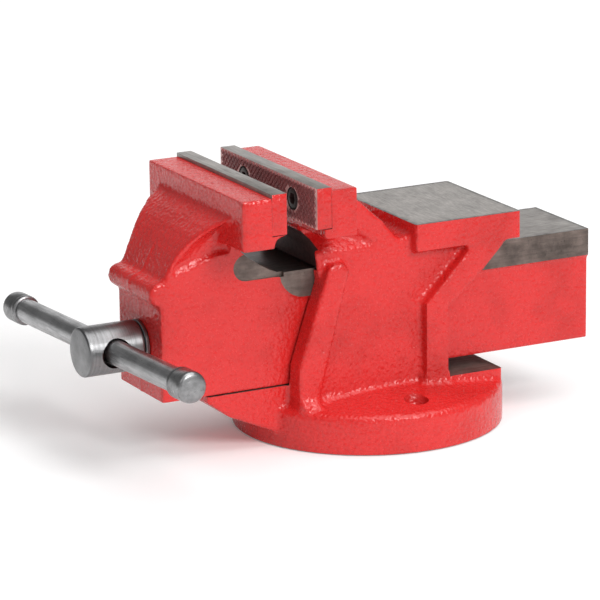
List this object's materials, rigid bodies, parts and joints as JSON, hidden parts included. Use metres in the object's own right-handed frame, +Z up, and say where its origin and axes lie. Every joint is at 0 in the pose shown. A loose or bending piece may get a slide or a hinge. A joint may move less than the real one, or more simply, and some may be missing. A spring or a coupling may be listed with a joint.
{
  "type": "bench vise",
  "caption": "Bench vise with a round bolt-down base, an anvil, a box-section sliding jaw, replaceable knurled jaw plates and a screw spindle turned by a sliding tommy bar.",
  "frame": {"origin": "centre of the round base's underside", "axes": "+X across the vise along the jaw width, +Y along the spindle from the handle towards the anvil, +Z up"},
  "size_m": [0.1989, 0.2607, 0.1292],
  "materials": {
    "body_enamel": "glossy red hammered enamel over a casting, with bare ground and milled faces",
    "jaw_enamel": "glossy red hammered enamel over a casting, with bare milled slide top",
    "plate_steel": "ground dark steel, cross-hatched gripping face",
    "screw_steel": "dark oiled steel",
    "spindle_steel": "turned bright steel",
    "handle_steel": "bright plated steel",
    "zinc_steel": "zinc-plated steel",
    "nut_iron": "as-cast with machined bore"
  },
  "bodies": {
    "base": {"static_body": "body_enamel", "rear_jaw_plate": "plate_steel", "rear_plate_screw_near": "screw_steel", "rear_plate_screw_far": "screw_steel", "spindle_nut": "nut_iron", "nut_bolt": "zinc_steel", "nut_bolt_washer": "zinc_steel"},
    "moving_jaw": {"movable_jaw": "jaw_enamel", "front_jaw_plate": "plate_steel", "front_plate_screw_near": "screw_steel", "front_plate_screw_far": "screw_steel", "thrust_washer": "zinc_steel", "inner_washer": "zinc_steel", "take_up_spring": "zinc_steel"},
    "spindle": {"spindle": "spindle_steel", "split_pin": "zinc_steel", "keeper_washer": "zinc_steel"},
    "handle": {"handle_bar": "handle_steel", "handle_cap_near": "handle_steel", "handle_cap_far": "handle_steel"}
  },
  "joints": [
    {"name": "jaw_slide", "type": "slide", "parent": "base", "child": "moving_jaw", "axis": [0, 1, 0], "range_m": [-0.085, 0.0142]},
    {"name": "spindle_turn", "type": "hinge", "parent": "moving_jaw", "child": "spindle", "pos_m": [0, -0.1369, 0.05277], "axis": [0, 1, 0], "range_deg": [-7650, 1275]},
    {"name": "handle_slide", "type": "slide", "parent": "spindle", "child": "handle", "axis": [0.999, 0, 0.0436], "range_m": [-0.0645, 0.081]}
  ],
  "couplings": [
    {"joint": "jaw_slide", "follows": "spindle_turn", "m_per_rad": 0.00063662}
  ]
}
